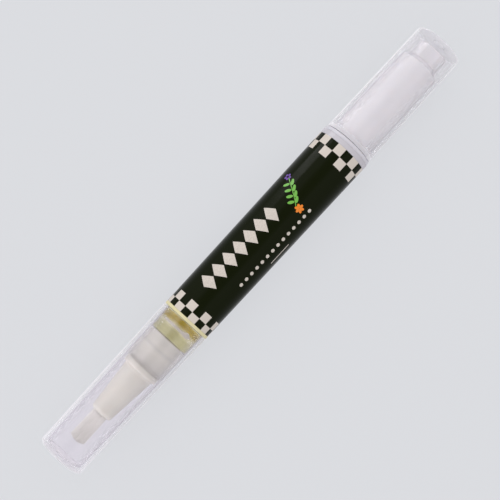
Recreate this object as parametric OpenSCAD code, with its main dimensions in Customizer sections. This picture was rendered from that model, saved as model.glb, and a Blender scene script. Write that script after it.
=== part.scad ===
// Nail oil pen of the twist-up kind, in millimetres. The pen lies along X with its cap at the -X end,
// and rests on Z = 0 at the middle of its length. A clear cap covers a brush on a white nozzle. The
// clear barrel holds the oil in front of a piston, and carries a printed sleeve. Turning the clear
// knob turns a keyed screw rod through a fixed nut, which drives the piston forward click by click.

/* [Cap] */
// Outside diameter of the cap at its closed end
cap_end_d = 12.4; // [12:0.1:12.8]
// Outside diameter of the cap at its mouth
cap_mouth_d = 13.2; // [13:0.1:13.5]
// Thickness of the cap's side wall at its closed end
cap_wall = 1; // [0.8:0.05:1.1]
// Thickness of the cap's side wall at its mouth
cap_mouth_wall = 0.85; // [0.7:0.05:1]
// Thickness of the cap's closed end
cap_end_wall = 1.1; // [1:0.1:2]
// Rounding of the outer edge at the closed end
cap_corner_r = 0.9; // [0.4:0.1:1.2]
// Rounding inside the closed end
cap_inner_r = 0.8; // [0.4:0.1:1.2]
// Free space between the closed end and the tip of the brush
tip_room = 4.2; // [2:0.1:8]

/* [Brush] */
// Diameter of the tuft outside its ferrule
tuft_d = 4.3; // [3.6:0.1:4.6]
// Length of the tuft outside its ferrule
tuft_len = 9.1; // [6:0.1:12]
// Number of bristles
bristles = 340; // [300:10:400]
// Thickness of one bristle across its corners
bristle_d = 0.14; // [0.1:0.01:0.15]
// Wall of the ferrule round the bristles
ferrule_wall = 0.3; // [0.2:0.05:0.4]
// Length of the ferrule
ferrule_len = 6.6; // [5:0.1:8]
// Outside diameter of the feed tube
tube_d = 1.2; // [1:0.1:1.4]
// Bore of the feed tube
tube_bore_d = 0.7; // [0.5:0.1:0.8]

/* [Nozzle and neck] */
// Length of the nozzle from its tip to the neck of the barrel
nozzle_len = 15; // [12:0.1:18]
// Diameter of the nozzle at its tip
nozzle_tip_d = 5.7; // [5.6:0.1:6.4]
// Diameter of the nozzle cone where it meets the flange
nozzle_base_d = 8.2; // [7.4:0.1:8.4]
// Thickness of the nozzle's flange
flange_t = 1.7; // [1:0.1:2.5]
// Length of the barrel's neck
neck_len = 14.8; // [13:0.1:18]
// Wall of the neck
neck_wall = 1; // [0.8:0.05:1.2]
// Diameter of the nozzle's spigot in the plug
spigot_d = 6.2; // [5.8:0.1:6.6]
// Length of the neck plug
plug_len = 8.8; // [7.5:0.1:9.5]

/* [Barrel] */
// Outside diameter of the barrel at its shoulder
barrel_front_d = 13.1; // [12.9:0.1:13.5]
// Outside diameter of the barrel at its tail
barrel_tail_d = 13.9; // [13.6:0.1:14.3]
// Wall round the oil chamber, at the shoulder
barrel_wall = 1.1; // [0.9:0.05:1.3]
// Wall round the guide nut, at the tail
tail_wall = 1.1; // [0.9:0.05:1.2]
// Bare barrel left at the tail behind the printed sleeve
label_tail_margin = 1.45; // [1:0.05:6]
// Thickness of the printed sleeve
label_t = 0.1; // [0.06:0.01:0.2]

/* [Drive] */
// Turns of the knob from full to empty
turns = 12; // [6:1:12]
// Travel of the piston for one turn
lead = 3; // [1.5:0.5:3]
// Length of the piston
piston_len = 7; // [6:0.1:8]
// Diameter of the screw rod over its thread
rod_d = 4.3; // [3.8:0.1:4.5]
// Width of the screw rod across its two flats
rod_flats = 3.3; // [2.8:0.1:3.5]
// Length of the guide nut inside the barrel
nut_len = 10.8; // [10.5:0.1:13]
// Thickness of the nut's collar between barrel and knob
collar_t = 0.8; // [0.6:0.05:1.5]
// Number of ratchet teeth in the nut
teeth = 12; // [8:1:16]
// Height of a ratchet tooth
tooth_h = 0.45; // [0.3:0.05:0.5]
// Number of sprung pawls on the click ring
pawls = 2; // [2:1:3]

/* [Knob] */
// Outside diameter of the knob at its mouth
knob_mouth_d = 13.4; // [13.2:0.1:13.8]
// Outside diameter of the knob at its end
knob_end_d = 13; // [12.8:0.1:13.3]
// Wall of the knob at its mouth
knob_wall = 1.05; // [0.9:0.05:1.15]
// Thickness of the solid end of the knob
knob_end_t = 2.3; // [2:0.1:5]
// Rounding of the knob's end
knob_corner_r = 0.8; // [0.4:0.1:1.2]
// Diameter of the drive sleeve's tail, which is pressed into the knob
sleeve_tail_d = 8.1; // [7.6:0.1:8.6]
// Length of the drive sleeve's tail
sleeve_tail_len = 4; // [2:0.1:5]

/* [Fits] */
// Running clearance on the radius of everything that turns or slides
run_clear = 0.05; // [0.03:0.01:0.08]
// Gap between faces that pass each other
face_gap = 0.15; // [0.1:0.05:0.3]
// Gap on the radius between the neck and the cap
neck_clear = 0.1; // [0.1:0.01:0.2]
// Gap on the radius between the drive sleeve and the knob that is pressed on it
press_clear = 0.02; // [0.01:0.01:0.05]

/* [Hidden] */
$fn = 96;

// Overrun of every cut past the surface that it opens
cut = 0.5;

// Travel of the piston, with the room that it leaves at both ends
stroke = turns * lead;
chamber_from_shoulder = 2.1;
piston_end_room = 0.3;
piston_park = 1.2;
barrel_len = chamber_from_shoulder + piston_end_room + stroke + piston_len + piston_park + nut_len;

// Places along the pen, from the closed end of the cap
tip_z = cap_end_wall + tip_room;
nozzle_z = tip_z + tuft_len;
neck_z = nozzle_z + nozzle_len;
shoulder_z = neck_z + neck_len;
cap_len = shoulder_z - face_gap;
tail_z = shoulder_z + barrel_len;
collar_z = tail_z + collar_t;
knob_z = collar_z + face_gap;
axis_h = max(barrel_tail_d, barrel_front_d, cap_mouth_d, knob_mouth_d) / 2;

// Small edge roundings and the gate marks of the clear mouldings
rim_r = 0.2;
cap_gate_d = 2.4;
cap_gate_depth = 0.25;
knob_gate_d = 3.4;
knob_gate_depth = 0.5;

// Snap bead of the neck, and its groove in the cap
bead_from_neck_end = 4.6;
bead_section_r = 1.5;
bead_z = neck_z + bead_from_neck_end;
bead_d = cap_bore_d(bead_z) - 2 * run_clear;
groove_section_r = bead_section_r + run_clear;
groove_gap = 0.1;
groove_d = bead_d + 2 * groove_gap;

// Neck and chamber of the barrel
neck_d = cap_bore_d(neck_z) - 2 * neck_clear;
neck_bore_d = neck_d - 2 * neck_wall;
neck_lead = 0.25;
chamber_d = barrel_front_d - 2 * barrel_wall;
chamber_z = shoulder_z + chamber_from_shoulder;
chamber_cone_len = 1.9;
tail_bore_d = barrel_tail_d - 2 * tail_wall;
nut_z = tail_z - nut_len;
tail_bore_z = nut_z - face_gap;

// Printed sleeve
label_margin = 0.85;
label_z = shoulder_z + label_margin;
label_end_z = tail_z - label_tail_margin;

// Nozzle, its flange and its spigot
flange_step = 0.65;
flange_d = neck_d - 2 * flange_step;
nozzle_lip_r = 0.25;
spigot_len = 5.8;
nozzle_core_d = 4.6;
nozzle_web_t = 1;
ferrule_stand = 0.2;

// Tuft, ferrule and feed tube
ferrule_bore_d = tuft_d;
ferrule_d = ferrule_bore_d + 2 * ferrule_wall;
ferrule_z = nozzle_z - ferrule_stand;
ferrule_end_z = ferrule_z + ferrule_len;
ferrule_web_t = 0.8;
slice_t = 0.8;
slice_z = ferrule_end_z - ferrule_web_t - slice_t;
slice_sink_share = 0.5;
tuft_hole_r = tube_d / 2 + bristle_d;
tuft_root_share = 0.93;
tuft_outer_r = (tuft_d - bristle_d) / 2;
tuft_crown = 0.7;
bristle_tip_share = 0.75;
bristle_sides = 3;
bristle_rings = 3;
golden_angle = 180 * (3 - sqrt(5));
tube_tip_share = 0.45;
tube_z = tip_z + tube_tip_share * tuft_len;

// Neck plug
plug_z = neck_z;
plug_end_z = plug_z + plug_len;
plug_lead = 0.3;
plug_web_t = 1.2;
plug_recess_d = 6.4;
plug_recess_z = plug_z + spigot_len + plug_web_t;

// Piston, with the clip for the rod's head
piston_z = nut_z - piston_park - piston_len;
piston_d = chamber_d - 2 * run_clear;
piston_waist_step = 0.5;
piston_waist_d = piston_d - 2 * piston_waist_step;
lip_len = 1.2;
lip_taper = 0.3;
piston_crown_t = 1.6;
piston_skirt_t = 0.9;
socket_boss_d = 6.6;
rod_neck_d = 3.2;
rod_neck_len = 1.7;
rod_head_d = 4.2;
rod_head_t = 1.4;
socket_play = 0.2;
socket_d = rod_head_d + socket_play;
socket_lip_d = rod_neck_d + socket_play;
socket_lip_t = 0.8;
head_z = piston_z + piston_len - socket_lip_t - rod_head_t - socket_play;

// Guide nut
nut_wall = 0.8;
nut_cavity_d = tail_bore_d - 2 * nut_wall;
nut_web_t = 1.8;
nut_bore_d = rod_d + 2 * run_clear;
collar_step = 0.1;
collar_d = barrel_tail_d - 2 * collar_step;
bearing_step = 0.3;
bearing_d = nut_cavity_d - 2 * bearing_step;
bearing_len = 3.75;
bearing_z = collar_z - bearing_len;
cavity_z = nut_z + nut_web_t;
tooth_len = 3.3;
tooth_root_step = 0.1;
tooth_root_r = nut_cavity_d / 2 - tooth_root_step;
tooth_tip_r = tooth_root_r - tooth_h;
nut_bead_section_r = 0.5;
nut_bead_h = 0.1;
nut_bead_z = nut_z + nut_len / 2;

// Click ring
ring_gap = 0.3;
ring_len = tooth_len - 2 * ring_gap;
ring_z = cavity_z + ring_gap;
arm_t = 0.45;
arm_clear = 0.15;
arm_outer_r = tooth_tip_r - arm_clear;
arm_inner_r = arm_outer_r - arm_t;
hub_gap = 0.35;
hub_r = arm_inner_r - hub_gap;
arm_angle = 118;
arm_root_angle = 26;
arm_end_angle = 3;
nose_angle = 20;
nose_clear_angle = 1.5;
nose_clear = 0.12;

// Drive sleeve
stub_wall = 0.7;
stub_bore_d = rod_d + 2 * run_clear;
stub_d = stub_bore_d + 2 * stub_wall;
stub_flats = stub_d - stub_wall;
stub_z = ring_z - ring_gap / 2;
stub_relief = 0.1;
key_len = 4.9;
key_hold = 3.9;
key_flats = rod_flats + 2 * run_clear;
journal_d = bearing_d - 2 * run_clear;
journal_bead_share = 0.8;
journal_bead_d = journal_d + journal_bead_share * (nut_cavity_d - bearing_d);
journal_bead_len = 0.9;
journal_z = bearing_z - face_gap - journal_bead_len;
sleeve_wall = 1;
sleeve_from_knob_mouth = 1.1;
sleeve_z = knob_z + sleeve_from_knob_mouth;
sleeve_air = 0.1;
sleeve_rib_len = 0.8;
sleeve_cone_len = 1.3;
rod_end_z = stub_z + key_hold + stroke;
sleeve_end_wall = 0.6;
sleeve_end_z = rod_end_z + 2 * face_gap + sleeve_end_wall;
knob_end_z = sleeve_end_z + face_gap + knob_end_t;
pen_len = knob_end_z;
sleeve_tail_z = sleeve_end_z - sleeve_tail_len;
sleeve_cone_z = sleeve_tail_z - sleeve_cone_len;
sleeve_tail_wall = 0.9;
sleeve_tail_bore_d = sleeve_tail_d - 2 * sleeve_tail_wall;
tail_flats = sleeve_tail_d - sleeve_wall;

// Diameters of the tapered mouldings at a place along the pen
function taper(d0, d1, z0, z1, z) = d0 + (d1 - d0) * (z - z0) / (z1 - z0);
function cap_outer_d(z) = taper(cap_end_d, cap_mouth_d, 0, cap_len, z);
function cap_bore_d(z) = cap_outer_d(z) - 2 * taper(cap_wall, cap_mouth_wall, 0, cap_len, z);
function barrel_outer_d(z) = taper(barrel_front_d, barrel_tail_d, shoulder_z, tail_z, z);
function knob_outer_d(z) = taper(knob_mouth_d, knob_end_d, knob_z, knob_end_z, z);
function knob_bore_d(z) = knob_outer_d(z) - 2 * knob_wall;
function sleeve_d(z) = knob_bore_d(z) - 2 * sleeve_air;
function sleeve_rib_d(z) = knob_bore_d(z) - 2 * press_clear;
function polar(r, a) = [r * cos(a), r * sin(a)];

// Stands a piece that is drawn upright along the pen's axis
module on_axis() {
    translate([-pen_len / 2, 0, axis_h])
        rotate([0, 90, 0])
            children();
}

// Half outline of a straight or tapered plug between two places
module plug_outline(z0, z1, d0, d1) {
    polygon([[0, z0], [d0 / 2, z0], [d1 / 2, z1], [0, z1]]);
}

// What a rounded edge takes off a corner at [x, z] that faces out along sx and sz
module edge_round(x, z, r, sx, sz) {
    difference() {
        translate([x - (sx > 0 ? r : cut), z - (sz > 0 ? r : cut)])
            square([r + cut, r + cut]);
        translate([x - sx * r, z - sz * r])
            circle(r);
    }
}

// Plug outline whose edge at its first end is rounded
module rounded_plug_outline(z0, z1, d0, d1, r) {
    difference() {
        plug_outline(z0, z1, d0, d1);
        edge_round(taper(d0, d1, z0, z1, z0 + r) / 2, z0, r, 1, -1);
    }
}

// Flat shape of a round bar with two flats
module two_flats(d, flats) {
    intersection() {
        circle(d = d);
        square([flats, 2 * d], center = true);
    }
}

// Clear cap with a snap groove in its bore and a gate mark on its closed end
module cap() {
    color([0.88, 0.88, 0.92, 0.4])
        on_axis()
            rotate_extrude()
                difference() {
                    rounded_plug_outline(0, cap_len, cap_end_d, cap_mouth_d, cap_corner_r);
                    rounded_plug_outline(cap_end_wall, cap_len + cut, cap_bore_d(cap_end_wall),
                        cap_bore_d(cap_len + cut), cap_inner_r);
                    translate([groove_d / 2 - groove_section_r, bead_z])
                        circle(groove_section_r);
                    plug_outline(-cut, cap_gate_depth, cap_gate_d, cap_gate_d);
                    edge_round(cap_mouth_d / 2, cap_len, rim_r, 1, 1);
                    edge_round(cap_bore_d(cap_len) / 2, cap_len, rim_r, -1, 1);
                }
}

// Bristle i stands on a sunflower spiral between the feed tube and the ferrule
function bristle_r(i) = sqrt(taper(pow(tuft_hole_r, 2), pow(tuft_outer_r, 2), 0, bristles, i));
function bristle_tip_z(i) = tip_z + tuft_crown * pow(bristle_r(i) / tuft_outer_r, 2);
function bristle_corner(i, share, d, k) =
    polar(share * bristle_r(i), i * golden_angle)
    + polar(d / 2, i * golden_angle + k * 360 / bristle_sides);

// Levels of a bristle: sunk in the slice, at the ferrule's mouth and at the tip
function bristle_levels(i) = [
    [slice_z + slice_sink_share * slice_t, tuft_root_share, bristle_d],
    [ferrule_z, tuft_root_share, bristle_d],
    [bristle_tip_z(i), 1, bristle_tip_share * bristle_d]
];
bristle_points = [
    for (i = [0 : bristles - 1])
        for (level = bristle_levels(i))
            for (k = [0 : bristle_sides - 1])
                concat(bristle_corner(i, level[1], level[2], k), level[0])
];
bristle_faces = [
    for (i = [0 : bristles - 1])
        let (first = bristle_sides * bristle_rings * i, last = first + bristle_sides * bristle_rings - 1)
            each concat(
                [[for (k = [bristle_sides - 1 : -1 : 0]) first + k]],
                [
                    for (ring = [0 : bristle_rings - 2])
                        for (k = [0 : bristle_sides - 1])
                            let (
                                a = first + bristle_sides * ring + k,
                                b = first + bristle_sides * ring + (k + 1) % bristle_sides
                            )
                                each [
                                    [a, b, a + bristle_sides],
                                    [b, b + bristle_sides, a + bristle_sides]
                                ]
                ],
                [[for (k = [0 : bristle_sides - 1]) last - bristle_sides + 1 + k]]
            )
];

// Nylon tuft, fused at its root into a slice that the feed tube passes through
module brush_tuft() {
    color([0.86, 0.83, 0.76])
        on_axis()
            union() {
                translate([0, 0, slice_z])
                    difference() {
                        cylinder(d = ferrule_bore_d, h = slice_t);
                        translate([0, 0, -cut])
                            cylinder(d = tube_d, h = slice_t + 2 * cut);
                    }
                polyhedron(bristle_points, bristle_faces);
            }
}

// Thin sleeve round the root of the tuft, closed behind by a web
module brush_ferrule() {
    color([0.93, 0.92, 0.89])
        on_axis()
            rotate_extrude()
                difference() {
                    plug_outline(ferrule_z, ferrule_end_z, ferrule_d, ferrule_d);
                    plug_outline(ferrule_z - cut, ferrule_end_z - ferrule_web_t, ferrule_bore_d,
                        ferrule_bore_d);
                    plug_outline(ferrule_z, ferrule_end_z + cut, tube_d, tube_d);
                }
}

// Tube that leads the oil from the chamber into the heart of the tuft
module feed_tube() {
    color([0.9, 0.9, 0.88])
        on_axis()
            translate([0, 0, tube_z])
                difference() {
                    cylinder(d = tube_d, h = plug_end_z - tube_z);
                    translate([0, 0, -cut])
                        cylinder(d = tube_bore_d, h = plug_end_z - tube_z + 2 * cut);
                }
}

// White nozzle: a cone to the flange, and a hollow spigot that plugs into the neck
module nozzle() {
    flange_z = neck_z - flange_t;
    color([0.93, 0.92, 0.88])
        on_axis()
            rotate_extrude()
                difference() {
                    union() {
                        rounded_plug_outline(nozzle_z, flange_z, nozzle_tip_d, nozzle_base_d,
                            nozzle_lip_r);
                        plug_outline(flange_z, neck_z, flange_d, flange_d);
                        plug_outline(flange_z, neck_z + spigot_len, spigot_d, spigot_d);
                    }
                    edge_round(flange_d / 2, flange_z, rim_r, 1, -1);
                    plug_outline(nozzle_z - cut, ferrule_end_z, ferrule_d, ferrule_d);
                    plug_outline(ferrule_end_z - cut, neck_z, tube_d, tube_d);
                    plug_outline(ferrule_end_z + nozzle_web_t, neck_z + spigot_len + cut,
                        nozzle_core_d, nozzle_core_d);
                }
}

// Translucent plug that seals the neck, with a socket for the nozzle and a recess on the oil's side
module neck_plug() {
    color([0.78, 0.78, 0.77])
        on_axis()
            rotate_extrude()
                difference() {
                    plug_outline(plug_z, plug_end_z, neck_bore_d, neck_bore_d);
                    edge_round(neck_bore_d / 2, plug_end_z, plug_lead, 1, 1);
                    plug_outline(plug_z - cut, plug_z + spigot_len, spigot_d, spigot_d);
                    plug_outline(plug_z, plug_end_z, tube_d, tube_d);
                    plug_outline(plug_recess_z, plug_end_z + cut, plug_recess_d, plug_recess_d);
                }
}

// Half outline of the inside of the barrel, from the neck to the tail
module barrel_bore_outline() {
    plug_outline(neck_z - cut, chamber_z, neck_bore_d, neck_bore_d);
    plug_outline(chamber_z - chamber_cone_len, chamber_z, neck_bore_d, chamber_d);
    plug_outline(chamber_z, tail_z, chamber_d, chamber_d);
    plug_outline(tail_bore_z, tail_z + cut, tail_bore_d, tail_bore_d);
    translate([tail_bore_d / 2 + nut_bead_h - nut_bead_section_r, nut_bead_z])
        circle(nut_bead_section_r);
}

// Clear barrel: a stepped neck with its snap bead, the oil chamber and the seat of the guide nut
module barrel() {
    color([0.9, 0.9, 0.9, 0.4])
        on_axis()
            rotate_extrude()
                difference() {
                    union() {
                        plug_outline(neck_z, shoulder_z, neck_d, neck_d);
                        translate([bead_d / 2 - bead_section_r, bead_z])
                            circle(bead_section_r);
                        plug_outline(shoulder_z, tail_z, barrel_front_d, barrel_tail_d);
                    }
                    edge_round(neck_d / 2, neck_z, neck_lead, 1, -1);
                    edge_round(barrel_front_d / 2, shoulder_z, rim_r, 1, -1);
                    edge_round(barrel_tail_d / 2, tail_z, rim_r, 1, 1);
                    polygon([
                        [barrel_outer_d(label_z) / 2 - label_t, label_z],
                        [barrel_outer_d(label_z) / 2 + cut, label_z],
                        [barrel_outer_d(label_end_z) / 2 + cut, label_end_z],
                        [barrel_outer_d(label_end_z) / 2 - label_t, label_end_z]
                    ]);
                    barrel_bore_outline();
                }
}

// Printed sleeve, flush in its recess on the barrel
module label() {
    color([0.09, 0.1, 0.08])
        on_axis()
            rotate_extrude()
                polygon([
                    [barrel_outer_d(label_z) / 2 - label_t, label_z],
                    [barrel_outer_d(label_z) / 2, label_z],
                    [barrel_outer_d(label_end_z) / 2, label_end_z],
                    [barrel_outer_d(label_end_z) / 2 - label_t, label_end_z]
                ]);
}

// Oil between the neck plug and the piston, with the plug's recess round the feed tube filled
module oil_fill() {
    film = run_clear / 2;
    recess_d = plug_recess_d - film;
    color([0.78, 0.66, 0.2, 0.7])
        on_axis()
            rotate_extrude()
                difference() {
                    union() {
                        plug_outline(plug_recess_z + film, plug_end_z + cut, recess_d, recess_d);
                        plug_outline(plug_end_z, chamber_z, neck_bore_d - film, neck_bore_d - film);
                        plug_outline(chamber_z - chamber_cone_len, chamber_z, neck_bore_d - film,
                            chamber_d - film);
                        plug_outline(chamber_z, piston_z - film, chamber_d - film, chamber_d - film);
                    }
                    plug_outline(plug_recess_z, plug_end_z, tube_d + film, tube_d + film);
                }
}

// Piston with two sealing lips, a hollow skirt and a clip for the head of the rod
module piston() {
    end_z = piston_z + piston_len;
    color([0.9, 0.9, 0.87])
        on_axis()
            rotate_extrude()
                difference() {
                    union() {
                        plug_outline(piston_z, end_z, piston_waist_d, piston_waist_d);
                        plug_outline(piston_z, piston_z + lip_len, piston_d, piston_d - lip_taper);
                        plug_outline(end_z - lip_len, end_z, piston_d - lip_taper, piston_d);
                    }
                    difference() {
                        plug_outline(piston_z + piston_crown_t, end_z + cut,
                            piston_waist_d - 2 * piston_skirt_t, piston_waist_d - 2 * piston_skirt_t);
                        plug_outline(piston_z, end_z, socket_boss_d, socket_boss_d);
                    }
                    plug_outline(head_z - socket_play / 2, end_z - socket_lip_t, socket_d, socket_d);
                    plug_outline(head_z, end_z + cut, socket_lip_d, socket_lip_d);
                }
}

// Screw rod: a head held in the piston, a neck, and a shank with two flats along its whole length
module screw_rod() {
    shank_z = head_z + rod_head_t + rod_neck_len;
    color([0.92, 0.92, 0.9])
        on_axis() {
            translate([0, 0, head_z])
                cylinder(d = rod_head_d, h = rod_head_t);
            translate([0, 0, head_z])
                cylinder(d = rod_neck_d, h = shank_z - head_z);
            translate([0, 0, shank_z])
                linear_extrude(rod_end_z - shank_z)
                    two_flats(rod_d, rod_flats);
        }
}

// Outline of the hole inside the ratchet teeth: each tooth falls back to its root along +angle
module tooth_hole() {
    pitch = 360 / teeth;
    polygon([
        for (i = [0 : teeth - 1])
            each [polar(tooth_root_r, i * pitch), polar(tooth_tip_r, i * pitch)]
    ]);
}

// Fixed nut in the tail of the barrel: threaded web, ratchet teeth, snap step and collar
module guide_nut() {
    color([0.94, 0.94, 0.93])
        on_axis()
            difference() {
                rotate_extrude()
                    difference() {
                        union() {
                            plug_outline(nut_z, tail_z, tail_bore_d, tail_bore_d);
                            translate([tail_bore_d / 2 + nut_bead_h - nut_bead_section_r, nut_bead_z])
                                circle(nut_bead_section_r);
                            difference() {
                                plug_outline(tail_z, collar_z, collar_d, collar_d);
                                edge_round(collar_d / 2, collar_z, rim_r, 1, 1);
                            }
                        }
                        plug_outline(nut_z - cut, cavity_z + cut, nut_bore_d, nut_bore_d);
                        plug_outline(cavity_z + tooth_len, bearing_z, nut_cavity_d, nut_cavity_d);
                        plug_outline(bearing_z - cut, collar_z + cut, bearing_d, bearing_d);
                    }
                translate([0, 0, cavity_z])
                    linear_extrude(tooth_len + cut)
                        tooth_hole();
            }
}

// One sprung pawl, higher than the ring: a root on the hub, a thin bent arm, and a nose that drops
// behind a tooth
module pawl() {
    nose_end = -nose_clear_angle;
    arm_mid_r = arm_outer_r - arm_t / 2;
    pawl_h = ring_len + 2 * cut;
    rotate(nose_end - arm_angle) {
        rotate_extrude(angle = arm_angle - arm_end_angle)
            translate([arm_inner_r, 0])
                square([arm_t, pawl_h]);
        rotate(-arm_end_angle)
            rotate_extrude(angle = arm_root_angle)
                translate([hub_r - arm_t / 2, 0])
                    square([arm_mid_r - hub_r + arm_t / 2, pawl_h]);
    }
    linear_extrude(pawl_h)
        polygon([
            polar(arm_mid_r, nose_end),
            polar(tooth_root_r - nose_clear, nose_end),
            polar(arm_mid_r, nose_end - nose_angle)
        ]);
}

// Click ring keyed to the drive sleeve, with its pawls seated behind teeth of the nut
module click_ring() {
    color([0.85, 0.87, 0.9])
        on_axis()
            translate([0, 0, ring_z])
                difference() {
                    intersection() {
                        translate([0, 0, -cut])
                            union() {
                                cylinder(r = hub_r, h = ring_len + 2 * cut);
                                for (i = [0 : pawls - 1])
                                    rotate(round(i * teeth / pawls) * 360 / teeth)
                                        pawl();
                            }
                        cylinder(r = tooth_root_r, h = ring_len);
                    }
                    translate([0, 0, -cut])
                        linear_extrude(ring_len + 2 * cut)
                            two_flats(stub_d, stub_flats);
                }
}

// Inside of the drive sleeve behind its keyed stub
module sleeve_bore_outline() {
    relief_bore_d = stub_bore_d + 2 * stub_relief;
    journal_bore_d = journal_d - 2 * sleeve_wall;
    body_bore_d = sleeve_d(sleeve_cone_z) - 2 * sleeve_wall;
    front_z = sleeve_z + sleeve_wall;
    cone_z = sleeve_cone_z - sleeve_wall / 2;
    plug_outline(stub_z + key_len, journal_z + sleeve_wall, relief_bore_d, relief_bore_d);
    plug_outline(journal_z + sleeve_wall, front_z, journal_bore_d, journal_bore_d);
    plug_outline(front_z, front_z + sleeve_wall, journal_bore_d, body_bore_d);
    plug_outline(front_z + sleeve_wall, cone_z, body_bore_d, body_bore_d);
    plug_outline(cone_z, sleeve_tail_z - sleeve_wall / 2, body_bore_d, sleeve_tail_bore_d);
    plug_outline(sleeve_cone_z, sleeve_end_z - sleeve_end_wall, sleeve_tail_bore_d,
        sleeve_tail_bore_d);
}

// Half outline of the outside of the drive sleeve
module sleeve_outline() {
    plug_outline(stub_z, journal_z + cut, stub_d, stub_d);
    plug_outline(journal_z, sleeve_z, journal_d, journal_d);
    plug_outline(journal_z, journal_z + journal_bead_len, journal_bead_d, journal_bead_d);
    plug_outline(sleeve_z, sleeve_cone_z, sleeve_d(sleeve_z), sleeve_d(sleeve_cone_z));
    plug_outline(sleeve_z, sleeve_z + sleeve_rib_len, sleeve_rib_d(sleeve_z),
        sleeve_rib_d(sleeve_z + sleeve_rib_len));
    plug_outline(sleeve_cone_z, sleeve_tail_z, sleeve_d(sleeve_cone_z), sleeve_tail_d);
    plug_outline(sleeve_tail_z, sleeve_end_z, sleeve_tail_d, sleeve_tail_d);
}

// What is cut off a round bar between two places to leave two flats on it
module flat_cuts(z0, z1, d, flats) {
    for (side = [0, 180])
        rotate(side)
            translate([flats / 2, -d, z0])
                cube([d, 2 * d, z1 - z0]);
}

// White drive sleeve: keyed stub, journal with its snap bead, visible body and pressed tail
module drive_sleeve() {
    color([0.95, 0.94, 0.95])
        on_axis()
            difference() {
                rotate_extrude()
                    difference() {
                        sleeve_outline();
                        sleeve_bore_outline();
                    }
                flat_cuts(stub_z - cut, ring_z + ring_len + ring_gap / 2, stub_d, stub_flats);
                flat_cuts(sleeve_tail_z, sleeve_end_z + cut, sleeve_tail_d, tail_flats);
                translate([0, 0, stub_z - cut])
                    linear_extrude(key_len + 2 * cut)
                        two_flats(stub_bore_d, key_flats);
            }
}

// Clear knob over the drive sleeve, solid at its end, with a keyed socket for the sleeve's tail
module knob_shell() {
    socket_z = sleeve_cone_z + sleeve_cone_len / 2;
    color([0.88, 0.88, 0.92, 0.4])
        on_axis()
            difference() {
                rotate_extrude()
                    difference() {
                        plug_outline(knob_z, knob_end_z, knob_mouth_d, knob_end_d);
                        edge_round(knob_mouth_d / 2, knob_z, rim_r, 1, -1);
                        edge_round(knob_end_d / 2, knob_end_z, knob_corner_r, 1, 1);
                        plug_outline(knob_z - cut, sleeve_cone_z, knob_bore_d(knob_z - cut),
                            knob_bore_d(sleeve_cone_z));
                        plug_outline(sleeve_cone_z, sleeve_tail_z, knob_bore_d(sleeve_cone_z),
                            sleeve_tail_d + 2 * sleeve_air);
                        plug_outline(knob_end_z - knob_gate_depth, knob_end_z + cut, knob_gate_d,
                            knob_gate_d);
                    }
                translate([0, 0, socket_z])
                    linear_extrude(sleeve_end_z + face_gap - socket_z)
                        two_flats(sleeve_tail_d + 2 * press_clear, tail_flats + 2 * press_clear);
            }
}

cap();
brush_tuft();
brush_ferrule();
feed_tube();
nozzle();
neck_plug();
barrel();
label();
oil_fill();
piston();
screw_rod();
guide_nut();
click_ring();
drive_sleeve();
knob_shell();
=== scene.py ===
import math
import random
from functools import partial

import bpy
from mathutils import Matrix, Vector


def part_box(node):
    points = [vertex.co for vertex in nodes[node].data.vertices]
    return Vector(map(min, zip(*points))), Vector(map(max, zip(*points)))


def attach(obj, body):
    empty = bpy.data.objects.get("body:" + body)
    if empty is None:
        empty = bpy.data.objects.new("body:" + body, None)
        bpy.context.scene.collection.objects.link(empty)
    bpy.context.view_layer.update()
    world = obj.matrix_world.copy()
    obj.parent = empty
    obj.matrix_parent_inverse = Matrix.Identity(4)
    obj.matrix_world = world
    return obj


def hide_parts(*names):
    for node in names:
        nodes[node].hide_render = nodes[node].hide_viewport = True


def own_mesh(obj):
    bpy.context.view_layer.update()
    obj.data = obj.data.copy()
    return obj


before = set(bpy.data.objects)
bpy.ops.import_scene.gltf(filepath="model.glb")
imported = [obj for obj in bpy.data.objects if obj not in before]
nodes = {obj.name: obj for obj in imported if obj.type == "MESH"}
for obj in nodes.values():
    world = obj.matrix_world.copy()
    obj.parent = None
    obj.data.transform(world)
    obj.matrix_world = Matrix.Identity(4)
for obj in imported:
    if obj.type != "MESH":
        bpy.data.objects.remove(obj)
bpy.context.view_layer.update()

MM = 0.001
FULL_TURN = 2 * math.pi


# Places of the CAD pieces along the pen, and their radii

def span(node):
    """Lowest and highest X of a CAD node."""
    low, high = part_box(node)
    return low.x, high.x


def radius(node):
    """Radius of a round CAD node."""
    low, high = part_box(node)
    return (high.y - low.y) / 2


barrel_low, barrel_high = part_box("barrel")
AXIS_Z = (barrel_low.z + barrel_high.z) / 2
MICROMETRE_DIGITS = 6


def around_axis(x, r, angle):
    """The point at a radius and an angle round the pen's axis, from the top towards +Y."""
    return (x, r * math.sin(angle), AXIS_Z + r * math.cos(angle))


def outline_of(node):
    """Outline (x, r) of a turned CAD node with no bore, read from its rings of vertices."""
    rings = {}
    for vertex in nodes[node].data.vertices:
        x = round(vertex.co.x, MICROMETRE_DIGITS)
        r = math.hypot(vertex.co.y, vertex.co.z - AXIS_Z)
        rings[x] = max(r, rings.get(x, 0))
    return sorted(rings.items())


# Meshes

SHARP_ANGLE = math.radians(20)


def add_object(name, data):
    """An object of the scene that holds a mesh, a camera or a lamp."""
    made = bpy.data.objects.new(name, data)
    bpy.context.scene.collection.objects.link(made)
    return made


def new_piece(name, points, faces, material, body):
    """A mesh piece that rides on a body, with the material it is given."""
    mesh = bpy.data.meshes.new(name)
    mesh.from_pydata(points, [], faces)
    mesh.validate()
    for polygon in mesh.polygons:
        polygon.use_smooth = True
    mesh.set_sharp_from_angle(angle=SHARP_ANGLE)
    mesh.materials.append(material)
    piece = add_object(name, mesh)
    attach(piece, body)
    return piece


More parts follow.
